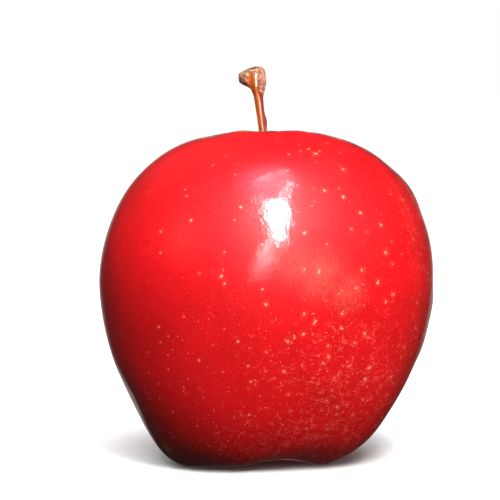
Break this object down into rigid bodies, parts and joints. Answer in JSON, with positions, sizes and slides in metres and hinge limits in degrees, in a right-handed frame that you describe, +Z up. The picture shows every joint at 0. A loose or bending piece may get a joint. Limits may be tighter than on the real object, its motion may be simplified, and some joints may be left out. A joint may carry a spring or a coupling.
{
  "type": "red apple",
  "caption": "Ripe red apple with broad shoulders, a tapered five-lobed base and a thin leaning stalk with a knobbed end. It rests upright on its lobes.",
  "frame": {"origin": "middle of the apple's footprint, on the surface it rests on", "axes": "+Z up along the stalk, -Y the front with the broadest lobe a little to its left, +X to the right"},
  "size_m": [0.0798, 0.081, 0.0935],
  "materials": {
    "apple_skin": "gloss",
    "stalk_wood": "satin",
    "dry_sepal": "matte",
    "dry_thread": "matte"
  },
  "bodies": {
    "root": {"fruit": "apple_skin", "stem": "stalk_wood", "sepal_1": "dry_sepal", "sepal_2": "dry_sepal", "sepal_3": "dry_sepal", "sepal_4": "dry_sepal", "sepal_5": "dry_sepal", "stamen_01": "dry_thread", "stamen_02": "dry_thread", "stamen_03": "dry_thread", "stamen_04": "dry_thread", "stamen_05": "dry_thread", "stamen_06": "dry_thread", "stamen_07": "dry_thread", "stamen_08": "dry_thread", "stamen_09": "dry_thread", "stamen_10": "dry_thread", "style": "dry_thread"}
  },
  "joints": []
}
